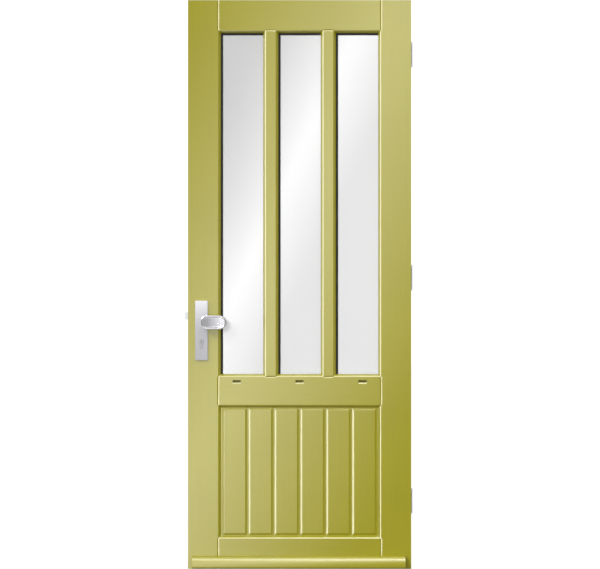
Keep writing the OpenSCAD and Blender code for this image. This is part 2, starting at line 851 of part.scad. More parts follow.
module lever_screw() {
    color(STEEL) translate([spindle_x, lever_y - lever_standoff / 2, spindle_z - spindle_side / 2])
        rotate([180, 0, 0]) cylinder(r = lever_screw_r, h = lever_neck_r - spindle_side / 2 - turn_gap);
}

module spindle() {
    color(STEEL) translate([spindle_x, -case_t / 2, spindle_z])
        square_bar(spindle_side, lever_socket_y + case_t / 2);
}

module cylinder_body() {
    color(NICKEL) difference() {
        along_y(cyl_out_y, cyl_in_y) cylinder_outline(0);
        translate([spindle_x, cyl_out_y - cut_over, cylinder_z]) rotate([-90, 0, 0])
            cylinder(r = plug_r + turn_gap, h = cyl_in_y - cyl_out_y + 2 * cut_over);
        translate([spindle_x - cyl_r - cut_over, -cam_half - pass_gap, cylinder_z - cyl_gap_drop])
            cube([2 * cyl_r + 2 * cut_over, 2 * (cam_half + pass_gap), cyl_gap_drop + cyl_r + cut_over]);
        translate([spindle_x - cyl_tail_w, 0, cylinder_z - cyl_screw_drop]) rotate([0, 90, 0])
            cylinder(r = cyl_screw_r + seat_gap, h = 2 * cyl_tail_w);
    }
}

// A plug reaches from the cam to the cylinder's face, with a key slot in its face
module plug(face_y, towards) {
    length = abs(face_y) - cam_half;
    color(NICKEL) translate([spindle_x, face_y, cylinder_z]) rotate([-90 * towards, 0, 0]) difference() {
        cylinder(r = plug_r, h = length);
        translate([-key_slot_w / 2, -key_slot_h / 2, -cut_over])
            cube([key_slot_w, key_slot_h, key_slot_l + cut_over]);
    }
}

module outer_plug() {
    plug(cyl_out_y, 1);
}

module inner_plug() {
    plug(cyl_in_y, -1);
}

module cylinder_cam() {
    color(STEEL) translate([spindle_x, -cam_half, cylinder_z]) rotate([-90, 0, 0]) union() {
        cylinder(r = cam_r, h = 2 * cam_half);
        translate([-cam_nose_w / 2, 0, 0]) cube([cam_nose_w, cam_reach, 2 * cam_half]);
    }
}

module cylinder_screw() {
    color(STEEL) translate([-half_w, 0, cylinder_z - cyl_screw_drop]) rotate([0, 90, 0]) union() {
        cylinder(r = cyl_screw_r, h = backset + cyl_tail_w);
        forend_screw_head(0);
    }
}

module forend_screw_head(gap) {
    countersunk_head(forend_screw_head_r, forend_screw_r, forend_screw_head_r - forend_screw_r, gap);
}

// Passages of the latch, the deadbolt and the cylinder's screw through forend and case
module lock_passages() {
    reach = 2 * forend_t;
    translate([-half_w - cut_over, -latch_y - pass_gap, latch_z - latch_h / 2 - pass_gap])
        cube([reach + cut_over, 2 * (latch_y + pass_gap), latch_h + 2 * pass_gap]);
    translate([-half_w - cut_over, -deadbolt_y - pass_gap, deadbolt_z - deadbolt_h / 2 - pass_gap])
        cube([reach + cut_over, 2 * (deadbolt_y + pass_gap), deadbolt_h + 2 * pass_gap]);
    translate([-half_w - cut_over, 0, cylinder_z - cyl_screw_drop]) rotate([0, 90, 0])
        cylinder(r = cyl_screw_r + seat_gap, h = reach + cut_over);
}

module lock_case() {
    post_x = case_x + case_d * post_share;
    color(STEEL) union() {
        difference() {
            translate([case_x, -case_t / 2, case_z]) cube([case_d, case_t, case_h]);
            translate([case_x + case_wall, -case_in, case_z + case_wall])
                cube([case_d - 2 * case_wall, 2 * case_in, case_h - 2 * case_wall]);
            lock_passages();
            along_y(-case_t, case_t) cylinder_outline(pass_gap);
            translate([spindle_x, -case_t, spindle_z]) rotate([-90, 0, 0])
                cylinder(r = journal_r + turn_gap, h = 2 * case_t);
        }
        translate([post_x, -case_in, deadbolt_z]) rotate([-90, 0, 0]) cylinder(r = post_r, h = 2 * case_in);
    }
}

module forend() {
    color(STEEL) difference() {
        translate([-half_w, -forend_w / 2, forend_z]) cube([forend_t, forend_w, forend_h]);
        lock_passages();
        forend_screw_places() {
            translate([0, 0, -cut_over]) cylinder(r = forend_screw_r + seat_gap, h = forend_t + 2 * cut_over);
            forend_screw_head(seat_gap);
        }
        translate([-half_w, 0, cylinder_z - cyl_screw_drop]) rotate([0, 90, 0]) forend_screw_head(seat_gap);
    }
}

module forend_screw_places() {
    for (z = [forend_z + forend_screw_inset, forend_z + forend_h - forend_screw_inset])
        translate([-half_w, 0, z]) rotate([0, 90, 0]) children();
}

module lock_screws() {
    color(STEEL) forend_screw_places() union() {
        cylinder(r = forend_screw_r, h = forend_screw_l);
        forend_screw_head(0);
    }
}

// The follower turns on its journals in the case, and its arm draws the latch back by its collar
module follower() {
    half = case_in - pass_gap;
    color(STEEL) translate([spindle_x, 0, spindle_z]) difference() {
        union() {
            translate([0, -half, 0]) rotate([-90, 0, 0]) cylinder(r = hub_r, h = 2 * half);
            translate([0, -case_t / 2, 0]) rotate([-90, 0, 0]) cylinder(r = journal_r, h = case_t);
            translate([-arm_r, -half, 0]) cube([2 * arm_r, half + arm_back_y, arm_reach]);
            translate([0, -half, arm_reach]) rotate([-90, 0, 0]) cylinder(r = arm_r, h = half + arm_back_y);
        }
        translate([0, -case_t, 0]) square_bar(spindle_side + 2 * turn_gap, 2 * case_t);
    }
}

module latch_bolt() {
    collar_x = spindle_x + arm_r + collar_gap;
    tip_x = -half_w - latch_out;
    color(STEEL) union() {
        difference() {
            translate([tip_x, -latch_y, latch_z - latch_h / 2]) cube([latch_head_l, 2 * latch_y, latch_h]);
            translate([tip_x, 0, latch_z - latch_h]) linear_extrude(2 * latch_h) polygon([
                [-cut_over, -latch_y - cut_over], [latch_out, -latch_y - cut_over],
                [latch_out, -latch_y], [0, latch_y / 2], [-cut_over, latch_y / 2]
            ]);
        }
        translate([tip_x + latch_head_l, strap_y, latch_z - strap_h / 2])
            cube([collar_x + collar_t - tip_x - latch_head_l, latch_y - strap_y, strap_h]);
        translate([collar_x, -latch_y, latch_z - collar_h / 2]) cube([collar_t, 2 * latch_y, collar_h]);
    }
}

// A coil of round wire between the latch's collar and the back of the case
module latch_spring() {
    from_x = spindle_x + arm_r + collar_gap + collar_t + spring_wire_r;
    to_x = case_x + case_d - case_wall - spring_wire_r;
    count = spring_turns * spring_steps;
    points = [for (i = [0 : count]) for (j = [0 : spring_sides - 1])
        let (a = 360 * i / spring_steps, b = 360 * j / spring_sides, r = spring_r + spring_wire_r * cos(b))
        [from_x + (to_x - from_x) * i / count + spring_wire_r * sin(b), r * cos(a), latch_z + r * sin(a)]];
    sides = [for (i = [0 : count - 1]) for (j = [0 : spring_sides - 1]) let (k = (j + 1) % spring_sides)
        [i * spring_sides + j, i * spring_sides + k, (i + 1) * spring_sides + k, (i + 1) * spring_sides + j]];
    ends = [
        [for (j = [spring_sides - 1 : -1 : 0]) j],
        [for (j = [0 : spring_sides - 1]) count * spring_sides + j]
    ];
    color(STEEL) polyhedron(points, concat(sides, ends), convexity = spring_turns);
}

module deadbolt() {
    front_x = -half_w + deadbolt_sunk;
    post_x = case_x + case_d * post_share;
    slot_half = post_r + pass_gap;
    color(STEEL) difference() {
        translate([front_x, -deadbolt_y, deadbolt_z - deadbolt_h / 2])
            cube([deadbolt_l, 2 * deadbolt_y, deadbolt_h]);
        along_y(-case_t, case_t) translate([post_x, deadbolt_z]) union() {
            circle(r = slot_half);
            translate([0, -slot_half]) square([deadbolt_throw, 2 * slot_half]);
            translate([deadbolt_throw, 0]) circle(r = slot_half);
        }
    }
}

// Screw places of one hinge's leaf flap: y and z only, so that children work along X
module hinge_hole_places(z) {
    for (col = [0, 1]) for (row = [-1, 1])
        translate([0, half_t - hinge_hole_inset - col * hinge_hole_dy, z + row * hinge_hole_dz / 2])
            children();
}

// A flap on the leaf's edge with its share of the knuckles
module flap(z, knuckles) {
    difference() {
        union() {
            translate([half_w - flap_t, half_t - flap_w, z - hinge_h / 2]) cube([flap_t, flap_w, hinge_h]);
            for (k = knuckles) translate([0, 0, z - hinge_h / 2 + k * knuckle_h + knuckle_gap / 2]) {
                translate([half_w - flap_t, half_t - barrel_gap, 0])
                    cube([flap_t, hinge_y - half_t + barrel_gap, knuckle_h - knuckle_gap]);
                translate([hinge_x, hinge_y, 0]) cylinder(r = barrel_r, h = knuckle_h - knuckle_gap);
            }
        }
        translate([hinge_x, hinge_y, z - hinge_h]) cylinder(r = pin_r + turn_gap, h = 2 * hinge_h);
        hinge_hole_places(z) translate([half_w, 0, 0]) rotate([0, -90, 0]) {
            translate([0, 0, -cut_over]) cylinder(r = hinge_hole_r, h = flap_t + 2 * cut_over);
            hinge_screw_head(seat_gap);
        }
    }
}

module hinge_screw_head(gap) {
    countersunk_head(hinge_head_r, hinge_hole_r - seat_gap, hinge_head_d, gap);
}

module leaf_flap(i) {
    color(STEEL) flap(HINGE_Z[i], [1, 3]);
}

// The frame's flap mirrors the leaf's about the hinge's axis
module frame_flap(i) {
    color(STEEL) translate([hinge_x, 0, 0]) mirror([1, 0, 0]) translate([-hinge_x, 0, 0])
        flap(HINGE_Z[i], [0, 2, 4]);
}

module hinge_pins() {
    color(STEEL) for (z = HINGE_Z) translate([hinge_x, hinge_y, z - hinge_h / 2]) union() {
        cylinder(r = pin_r, h = hinge_h);
        translate([0, 0, knuckle_gap / 2 - pin_tip_h]) cylinder(r = pin_tip_r, h = pin_tip_h);
        translate([0, 0, hinge_h - knuckle_gap / 2]) cylinder(r = pin_tip_r, h = pin_tip_h);
    }
}

module hinge_screws() {
    color(STEEL) for (z = HINGE_Z) hinge_hole_places(z)
        translate([half_w, 0, 0]) rotate([0, -90, 0]) union() {
            cylinder(r = hinge_hole_r - seat_gap, h = hinge_screw_l);
            hinge_screw_head(0);
        }
}

lock_stile();
hinge_stile();
top_rail();
lock_rail();
bottom_rail();
muntin(-1);  // muntin_left
muntin(1);  // muntin_right
for (i = [0 : board_count - 1])
    panel_board(i);
weatherboard();
dowels();
for (i = [0 : pane_count - 1]) {
    outer_pane(i);
    inner_pane(i);
    edge_seal(i);
    glazing_beads(i);
}
outer_seals();
inner_seals();
setting_blocks();
outer_plate();
pull();
inner_plate();
lever();
lever_screw();
spindle();
plate_bolts();
cylinder_body();
outer_plug();
inner_plug();
cylinder_cam();
cylinder_screw();
lock_case();
forend();
lock_screws();
follower();
latch_bolt();
latch_spring();
deadbolt();
for (i = [0 : len(HINGES) - 1]) {
    leaf_flap(i);
    frame_flap(i);
}
hinge_pins();
hinge_screws();
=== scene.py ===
import json
import math
import bmesh
import bpy
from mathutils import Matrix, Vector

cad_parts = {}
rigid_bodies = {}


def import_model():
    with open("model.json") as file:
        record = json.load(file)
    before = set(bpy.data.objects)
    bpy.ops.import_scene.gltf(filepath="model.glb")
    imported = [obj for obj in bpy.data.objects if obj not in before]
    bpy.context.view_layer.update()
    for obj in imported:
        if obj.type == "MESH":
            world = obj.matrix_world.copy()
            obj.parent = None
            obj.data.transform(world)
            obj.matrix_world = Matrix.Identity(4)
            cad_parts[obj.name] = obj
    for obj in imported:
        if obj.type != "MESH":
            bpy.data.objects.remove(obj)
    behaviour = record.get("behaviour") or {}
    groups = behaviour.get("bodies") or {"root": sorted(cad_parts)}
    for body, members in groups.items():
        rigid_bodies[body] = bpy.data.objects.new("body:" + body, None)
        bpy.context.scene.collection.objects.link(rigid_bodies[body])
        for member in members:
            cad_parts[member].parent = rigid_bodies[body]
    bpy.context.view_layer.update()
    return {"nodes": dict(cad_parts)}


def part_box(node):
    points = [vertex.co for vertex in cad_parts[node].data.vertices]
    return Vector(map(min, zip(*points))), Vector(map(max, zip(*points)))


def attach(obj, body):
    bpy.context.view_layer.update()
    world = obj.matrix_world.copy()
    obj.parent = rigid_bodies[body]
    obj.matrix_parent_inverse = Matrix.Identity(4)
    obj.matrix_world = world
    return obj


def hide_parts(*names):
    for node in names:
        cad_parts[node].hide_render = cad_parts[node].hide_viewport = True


for leftover in list(bpy.data.objects):
    bpy.data.objects.remove(leftover)
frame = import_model()
nodes = frame["nodes"]


# Stiles: two full-height planks of laminated hardwood with a moulded edge towards the openings.
# The joints are glued first and the whole leaf is then sprayed with satin olive enamel, so the paint
# runs on over every joint.
def linear(code):
    parts = [int(code[i:i + 2], 16) / 255 for i in (1, 3, 5)]
    return tuple(c / 12.92 if c <= 0.04045 else ((c + 0.055) / 1.055) ** 2.4 for c in parts) + (1.0,)


def add(tree, kind, sockets=None, **settings):
    node = tree.nodes.new("ShaderNode" + kind)
    for name, value in settings.items():
        setattr(node, name, value)
    for name, value in (sockets or {}).items():
        if isinstance(value, bpy.types.NodeSocket):
            tree.links.new(value, node.inputs[name])
        else:
            node.inputs[name].default_value = value
    return node


def new_finish(name):
    finish = bpy.data.materials.new(name)
    finish.use_nodes = True
    return finish, finish.node_tree, finish.node_tree.nodes["Principled BSDF"]


stile_low, stile_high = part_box("lock_stile")
spray_in = 0.0145


# Satin enamel over planed timber: a deep olive yellow whose pale sheen comes from the clear skin of the
# paint. The spray leaves a fine orange peel, and the grain under it shows as long faint streaks.
# Streaks of 0.6 mm would not show from the front, so they are drawn about 4 mm wide and 220 mm long.
# The spray hardly reaches the grooves and slots deeper than spray_in, so the paint stays dull there.
def enamel_on_timber(name, grain_axis):
    finish, tree, shader = new_finish(name)
    streak_wide, streak_long, drift_wide, peel = 0.004, 0.22, 0.35, 0.0022
    dull = 0.7
    half = (stile_high - stile_low) / 2
    unsprayed = (("X", 0.0, -stile_low.x - spray_in), ("Y", 0.0, half.y - spray_in),
                 ("Z", half.z, half.z - spray_in))
    place = add(tree, "TexCoord")
    across, along = 1 / streak_wide, 1 / streak_long
    stretch = {"X": (along, across, across), "Z": (across, across, along)}[grain_axis]
    lie = add(tree, "Mapping", {"Vector": place.outputs["Object"], "Scale": stretch})
    streaks = add(tree, "TexNoise", {"Vector": lie.outputs["Vector"], "Scale": 1.0, "Detail": 4.0,
                                     "Roughness": 0.6, "Distortion": 0.3})
    drift = add(tree, "TexNoise", {"Vector": place.outputs["Object"], "Scale": 1 / drift_wide, "Detail": 2.0})
    skin = add(tree, "TexNoise", {"Vector": place.outputs["Object"], "Scale": 1 / peel, "Detail": 1.0})
    tone = add(tree, "MapRange", {"Value": drift.outputs["Fac"], "From Min": 0.3, "From Max": 0.7})
    # In a colour Mix, socket 0 is the share, 6 and 7 are the two colours, and output 2 is the result.
    body = add(tree, "Mix", {0: tone.outputs["Result"], 6: linear("#9a9312"), 7: linear("#a09918")},
               data_type="RGBA")
    thin = add(tree, "MapRange", {"Value": streaks.outputs["Fac"], "From Min": 0.35, "From Max": 0.7,
                                  "To Min": 0.0, "To Max": 0.35})
    colour = add(tree, "Mix", {0: thin.outputs["Result"], 6: body.outputs[2], 7: linear("#938b0e")},
                 data_type="RGBA")
    gloss = add(tree, "MapRange", {"Value": streaks.outputs["Fac"], "From Min": 0.3, "From Max": 0.7,
                                   "To Min": 0.18, "To Max": 0.23})
    depth = add(tree, "SeparateXYZ", {0: place.outputs["Object"]})
    hollow = dull
    for axis, middle, reach in unsprayed:
        deep = add(tree, "Math", {0: depth.outputs[axis], 1: middle, 2: reach}, operation="COMPARE")
        hollow = add(tree, "Math", {0: deep.outputs[0], 1: hollow}, operation="MULTIPLY").outputs[0]
    skin_gloss = add(tree, "Math", {0: gloss.outputs["Result"], 1: hollow}, operation="MAXIMUM")
    grain = add(tree, "Bump", {"Height": streaks.outputs["Fac"], "Strength": 0.12, "Distance": 0.0004})
    orange = add(tree, "Bump", {"Height": skin.outputs["Fac"], "Strength": 0.05, "Distance": 0.0002,
                                "Normal": grain.outputs["Normal"]})
    for socket, output in (("Base Color", colour.outputs[2]), ("Roughness", skin_gloss.outputs[0]),
                           ("Normal", orange.outputs["Normal"])):
        tree.links.new(output, shader.inputs[socket])
    shader.inputs["IOR"].default_value = 1.46
    shader.inputs["Specular IOR Level"].default_value = 1.0
    return finish


def dress(names, finish, arris_mm=0.0):
    weld_gap, flat_below = 1e-5, math.radians(25)
    for name in names:
        piece = nodes[name]
        piece.material_slots[0].material = finish
        if arris_mm:
            weld = piece.modifiers.new("Weld", "WELD")
            weld.merge_threshold = weld_gap
            arris = piece.modifiers.new("Arris", "BEVEL")
            arris.width = arris_mm / 1000
            arris.segments = 2
            arris.limit_method = "ANGLE"
            arris.angle_limit = flat_below
            arris.use_clamp_overlap = True


enamel_upright = enamel_on_timber("satin_olive_enamel_grain_upright", "Z")
dress(["lock_stile", "hinge_stile"], enamel_upright)


# Rails: three cross members of the same hardwood, dowelled between the stiles and moulded like them.
# The lock rail carries three milled drain slots that let water out of the glazing rebate.
enamel_lying = enamel_on_timber("satin_olive_enamel_grain_lying", "X")
dress(["top_rail", "lock_rail", "bottom_rail"], enamel_lying)


# Muntins: two slim uprights of the same hardwood between the panes, moulded like the stiles on both edges.
# Each is shaped over the rails' outer lips, held by a dowel at both ends and painted with the leaf.
dress(["muntin_left", "muntin_right"], enamel_upright)


# Panel boards: six hardwood boards with a raised field on both faces, tongued and grooved together.
# They stand loose in the grooves of stiles and rails so that they can swell, and their edges are
# sanded rounder than those.
board_arris_mm = 0.8
dress(["panel_board_%d" % i for i in range(1, 7)], enamel_upright, board_arris_mm)


# Weatherboard: a hardwood drip moulding with a sloped top and a rounded nose that throws the rain off.
# Its tongue is glued into a groove of the bottom rail, and it stops short of the leaf's edges.
dress(["weatherboard"], enamel_lying)


# Glazing beads: hardwood strips with one bevelled edge, mitred at the corners and painted with the leaf.
# They are pinned in from the inside and press the glass units against the outer seals.
sides = ("left", "middle", "right")
dress(["glazing_beads_" + side for side in sides], enamel_upright)


# Dowels: turned beech pins glued into the joints of stiles, rails and muntins, bare wood and out of sight.
# Turned beech is pale and even, with short darker flecks along the grain.
beech, tree, shader = new_finish("beech_turned_bare")
fleck_long, fleck_wide = 0.006, 0.0008
place = add(tree, "TexCoord")
lie = add(tree, "Mapping", {"Vector": place.outputs["Object"],
                            "Scale": (1 / fleck_long, 1 / fleck_wide, 1 / fleck_wide)})
flecks = add(tree, "TexNoise", {"Vector": lie.outputs["Vector"], "Scale": 1.0, "Detail": 3.0})
colour = add(tree, "Mix", {0: flecks.outputs["Fac"], 6: linear("#d2b083"), 7: linear("#b98f5e")},
             data_type="RGBA")
tree.links.new(colour.outputs[2], shader.inputs["Base Color"])
shader.inputs["Roughness"].default_value = 0.7
dress(["dowels"], beech)


# Seals, edge seals and setting blocks: black rubber and sealant round the glass units, pressed between
# the glass, the rebates and the beads.
# Extruded rubber is matt and nearly black, with a faint dusty bloom in patches.
rubber, tree, shader = new_finish("black_rubber_extruded")
bloom_wide, dimple_wide = 0.02, 0.0012
place = add(tree, "TexCoord")
bloom = add(tree, "TexNoise", {"Vector": place.outputs["Object"], "Scale": 1 / bloom_wide, "Detail": 4.0})
colour = add(tree, "Mix", {0: bloom.outputs["Fac"], 6: linear("#0d0d0b"), 7: linear("#191815")},
             data_type="RGBA")
pores = add(tree, "TexNoise", {"Vector": place.outputs["Object"], "Scale": 1 / dimple_wide, "Detail": 2.0})
dimple = add(tree, "Bump", {"Height": pores.outputs["Fac"], "Strength": 0.2, "Distance": 0.0002})
tree.links.new(colour.outputs[2], shader.inputs["Base Color"])
tree.links.new(dimple.outputs["Normal"], shader.inputs["Normal"])
shader.inputs["Roughness"].default_value = 0.62
dress(["outer_seals", "inner_seals", "setting_blocks"], rubber)
dress(["edge_seal_" + side for side in sides], rubber)


# Glass units: two float panes with a black seal between their edges, set on blocks in the rebate.
# Float glass is dead flat and sharp in reflection. The outer pane has a neutral grey sun coating with the
# faint film that weather leaves on its outer face, which is what shows a shadow on glass.
def float_glass(name, tints, film=0.0, film_to=0.0):
    finish, tree, shader = new_finish(name)
    patch_wide, film_fade = 0.5, 0.001
    place = add(tree, "TexCoord")
    patch = add(tree, "TexNoise", {"Vector": place.outputs["Object"], "Scale": 1 / patch_wide, "Detail": 1.0})
    colour = add(tree, "Mix", {0: patch.outputs["Fac"], 6: linear(tints[0]), 7: linear(tints[1])},
                 data_type="RGBA")
    tree.links.new(colour.outputs[2], shader.inputs["Base Color"])
    shader.inputs["Transmission Weight"].default_value = 1 - film
    if film:
        depth = add(tree, "SeparateXYZ", {0: place.outputs["Object"]})
        clear = add(tree, "MapRange", {"Value": depth.outputs["Y"], "From Min": film_to - film_fade,
                                       "From Max": film_to, "To Min": 1 - film, "To Max": 1.0})
        tree.links.new(clear.outputs["Result"], shader.inputs["Transmission Weight"])
    shader.inputs["Roughness"].default_value = 0.0
    shader.inputs["IOR"].default_value = 1.5
    return finish


outer_panes = ["outer_pane_" + side for side in sides]
inner_panes = ["inner_pane_" + side for side in sides]
film_share, film_deep = 0.75, 0.002
film_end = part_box("outer_pane_left")[0].y + film_deep
dress(outer_panes, float_glass("float_glass_grey_coated", ("#9e9e9e", "#a2a2a2"), film_share, film_end))
dress(inner_panes, float_glass("float_glass_clear", ("#eaecec", "#eef0f0")))


# Hinges: three butt hinges, each a leaf flap and a frame flap on one loose pin, let into the leaf's edge.
# They are pressed from sheet steel and zinc plated: bright zinc is a very pale cool grey with cloudy
# patches a few millimetres wide, as its crystals leave them.
zinc, tree, shader = new_finish("zinc_plated_bright")
cloud_wide, flap_arris_mm = 0.006, 0.4
place = add(tree, "TexCoord")
cloud = add(tree, "TexNoise", {"Vector": place.outputs["Object"], "Scale": 1 / cloud_wide, "Detail": 3.0})
colour = add(tree, "Mix", {0: cloud.outputs["Fac"], 6: linear("#dfe2e5"), 7: linear("#eef0f2")},
             data_type="RGBA")
gloss = add(tree, "MapRange", {"Value": cloud.outputs["Fac"], "To Min": 0.22, "To Max": 0.36})
tree.links.new(colour.outputs[2], shader.inputs["Base Color"])
tree.links.new(gloss.outputs["Result"], shader.inputs["Roughness"])
shader.inputs["Metallic"].default_value = 1.0
hinge_places = ("top", "middle", "bottom")
flaps = [flap + hinge for flap in ("leaf_flap_", "frame_flap_") for hinge in hinge_places]
dress(flaps, zinc, flap_arris_mm)
dress(["hinge_pins"], zinc)


# Lock: a steel mortise case with its forend, follower, deadbolt and latch, let into the lock stile.
# Rolled and brushed steel is a cool mid grey with fine scratches along the length of the strip.
# The latch is zinc plated like the hinges.
steel, tree, shader = new_finish("brushed_steel_rolled")
scratch_wide, scratch_long = 0.0007, 0.03
place = add(tree, "TexCoord")
lie = add(tree, "Mapping", {"Vector": place.outputs["Object"],
                            "Scale": (1 / scratch_wide, 1 / scratch_wide, 1 / scratch_long)})
scratches = add(tree, "TexNoise", {"Vector": lie.outputs["Vector"], "Scale": 1.0, "Detail": 3.0})
colour = add(tree, "Mix", {0: scratches.outputs["Fac"], 6: linear("#9b9da0"), 7: linear("#b7b9bb")},
             data_type="RGBA")
gloss = add(tree, "MapRange", {"Value": scratches.outputs["Fac"], "To Min": 0.26, "To Max": 0.42})
score = add(tree, "Bump", {"Height": scratches.outputs["Fac"], "Strength": 0.15, "Distance": 0.0001})
for socket, output in (("Base Color", colour.outputs[2]), ("Roughness", gloss.outputs["Result"]),
                       ("Normal", score.outputs["Normal"])):
    tree.links.new(output, shader.inputs[socket])
shader.inputs["Metallic"].default_value = 1.0
dress(["lock_case", "forend", "follower", "latch_spring", "deadbolt"], steel)
dress(["latch_bolt"], zinc)


# Profile cylinder: nickel-plated brass through the stile, with a plug and key slot at each end and a steel
# cam between them. The satin plating is a soft warm grey. The turned grain round the plug is too fine to
# draw, so it reads as an even mist.
nickel, tree, shader = new_finish("satin_nickel_on_brass")
mist_wide = 0.004
place = add(tree, "TexCoord")
mist = add(tree, "TexNoise", {"Vector": place.outputs["Object"], "Scale": 1 / mist_wide, "Detail": 4.0})
colour = add(tree, "Mix", {0: mist.outputs["Fac"], 6: linear("#dbdad9"), 7: linear("#e4e3e2")},
             data_type="RGBA")
gloss = add(tree, "MapRange", {"Value": mist.outputs["Fac"], "To Min": 0.28, "To Max": 0.40})
tree.links.new(colour.outputs[2], shader.inputs["Base Color"])
tree.links.new(gloss.outputs["Result"], shader.inputs["Roughness"])
shader.inputs["Metallic"].default_value = 1.0
dress(["cylinder_body", "outer_plug", "inner_plug"], nickel)
dress(["cylinder_cam"], steel)


# Handle plates: one on each face of the stile, cut from drawn aluminium and bolted through to each other.
# Anodised aluminium is a pale cool grey. Blasted first, it glows softly; polished first, it takes clear
# soft-edged reflections. The draw lines of 0.3 mm wouldn't show, so they are drawn 3 mm wide.
def anodised_aluminium(name, gloss_low, gloss_high):
    finish, tree, shader = new_finish(name)
    line_wide, line_long, blast_grit = 0.003, 0.12, 0.0008
    place = add(tree, "TexCoord")
    lie = add(tree, "Mapping", {"Vector": place.outputs["Object"],
                                "Scale": (1 / line_wide, 1 / line_wide, 1 / line_long)})
    lines = add(tree, "TexNoise", {"Vector": lie.outputs["Vector"], "Scale": 1.0, "Detail": 3.0})
    colour = add(tree, "Mix", {0: lines.outputs["Fac"], 6: linear("#d2d1d5"), 7: linear("#dedde1")},
                 data_type="RGBA")
    gloss = add(tree, "MapRange", {"Value": lines.outputs["Fac"], "To Min": gloss_low, "To Max": gloss_high})
    blast = add(tree, "TexNoise", {"Vector": place.outputs["Object"], "Scale": 1 / blast_grit, "Detail": 1.0})
    matt = add(tree, "Bump", {"Height": blast.outputs["Fac"], "Strength": 0.05, "Distance": 0.0001})
    for socket, output in (("Base Color", colour.outputs[2]), ("Roughness", gloss.outputs["Result"]),
                           ("Normal", matt.outputs["Normal"])):
        tree.links.new(output, shader.inputs[socket])
    shader.inputs["Metallic"].default_value = 1.0
    return finish


satin_aluminium = anodised_aluminium("aluminium_blasted_anodised", gloss_low=0.34, gloss_high=0.46)
plate_arris_mm = 1.2
dress(["outer_plate", "inner_plate"], satin_aluminium, plate_arris_mm)


# Pull: an oblong die-cast in aluminium with a thick rounded rim and a dished face, polished and anodised.
# It stands off the outer plate on a short flared neck, which is riveted in that plate.
bright_aluminium = anodised_aluminium("aluminium_polished_anodised", gloss_low=0.14, gloss_high=0.20)
pull_low, pull_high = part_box("pull")
rim_half_l = (pull_high.x - pull_low.x) / 2
rim_half_h = (pull_high.z - pull_low.z) / 2
rim_x = (pull_high.x + pull_low.x) / 2
rim_z = (pull_high.z + pull_low.z) / 2
rim_y = pull_low.y
body_t, back_r, rim_r = 0.015, 0.005, 0.0032
dish_d, dish_rings, dish_wall = 0.0087, 20, 14
neck_in, neck_r, neck_flare, flare_bend, neck_rings = 0.017, 0.0098, 0.0022, 5, 13
neck_into_pull, neck_into_plate = 0.001, 0.0005
arc_steps, side_steps, neck_steps, quarter_rings, half_rings = 48, 24, 48, 7, 9


def oblong(middle_x, middle_z, half_l, half_h, y):
    run = half_l - half_h
    points = []
    for end in (1, -1):
        for i in range(arc_steps):
            a = math.pi * (i / arc_steps - 0.5)
            along = run + half_h * math.cos(a)
            points.append((middle_x + end * along, y, middle_z + end * half_h * math.sin(a)))
        for i in range(side_steps):
            along = run * (1 - 2 * i / side_steps)
            points.append((middle_x + end * along, y, middle_z + end * half_h))
    return points


def rounded_edge(middle_x, middle_z, half_l, half_h, middle_y, r, turn, count):
    rings = []
    for i in range(count):
        a = math.radians(turn[0] + (turn[1] - turn[0]) * i / (count - 1))
        inset = r * (1 - math.cos(a))
        rings.append(oblong(middle_x, middle_z, half_l - inset, half_h - inset, middle_y + r * math.sin(a)))
    return rings


def round_ring(middle_x, middle_z, r, y):
    turns = [2 * math.pi * i / neck_steps for i in range(neck_steps)]
    return [(middle_x + r * math.cos(a), y, middle_z + r * math.sin(a)) for a in turns]


def loft(mesh, rings):
    loops = [[mesh.verts.new(point) for point in ring] for ring in rings]
    faces = [mesh.faces.new(loops[0]), mesh.faces.new(reversed(loops[-1]))]
    for near, far in zip(loops, loops[1:]):
        for i in range(len(near)):
            faces.append(mesh.faces.new((near[i - 1], near[i], far[i], far[i - 1])))
    bmesh.ops.recalc_face_normals(mesh, faces=faces)


def to_object(mesh, name):
    sharp_from = math.radians(40)
    data = bpy.data.meshes.new(name)
    mesh.to_mesh(data)
    mesh.free()
    data.shade_smooth()
    data.set_sharp_from_angle(angle=sharp_from)
    thing = bpy.data.objects.new(name, data)
    bpy.context.scene.collection.objects.link(thing)
    return thing


rim = (rim_x, rim_z, rim_half_l, rim_half_h)
lip_y = rim_y + rim_r
rings = rounded_edge(*rim, rim_y + body_t - back_r, back_r, (90, 0), quarter_rings)
rings += rounded_edge(*rim, lip_y, rim_r, (0, -180), half_rings)
dish_half_l, dish_half_h = rim_half_l - 2 * rim_r, rim_half_h - 2 * rim_r
for i in range(1, dish_rings + 1):
    t = math.cos(math.pi / 2 * i / (dish_rings + 0.5))
    sag = (dish_d - rim_r) * (1 - t ** dish_wall)
    flat = oblong(rim_x, rim_z, dish_half_l * t, dish_half_h * t, lip_y)
    rings.append([(x, y + sag * (1 - ((x - rim_x) / dish_half_l) ** 2), z) for x, y, z in flat])
mesh = bmesh.new()
loft(mesh, rings)
neck_from, neck_to = rim_y + body_t - neck_into_pull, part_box("outer_plate")[0].y + neck_into_plate
rings = []
for i in range(neck_rings):
    t = i / (neck_rings - 1)
    r = neck_r + neck_flare * abs(2 * t - 1) ** flare_bend
    rings.append(round_ring(pull_low.x + neck_in, rim_z, r, neck_from + (neck_to - neck_from) * t))
loft(mesh, rings)
pull_dished = to_object(mesh, "pull_dished")
pull_dished.data.materials.append(bright_aluminium)
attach(pull_dished, "leaf")
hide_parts("pull")


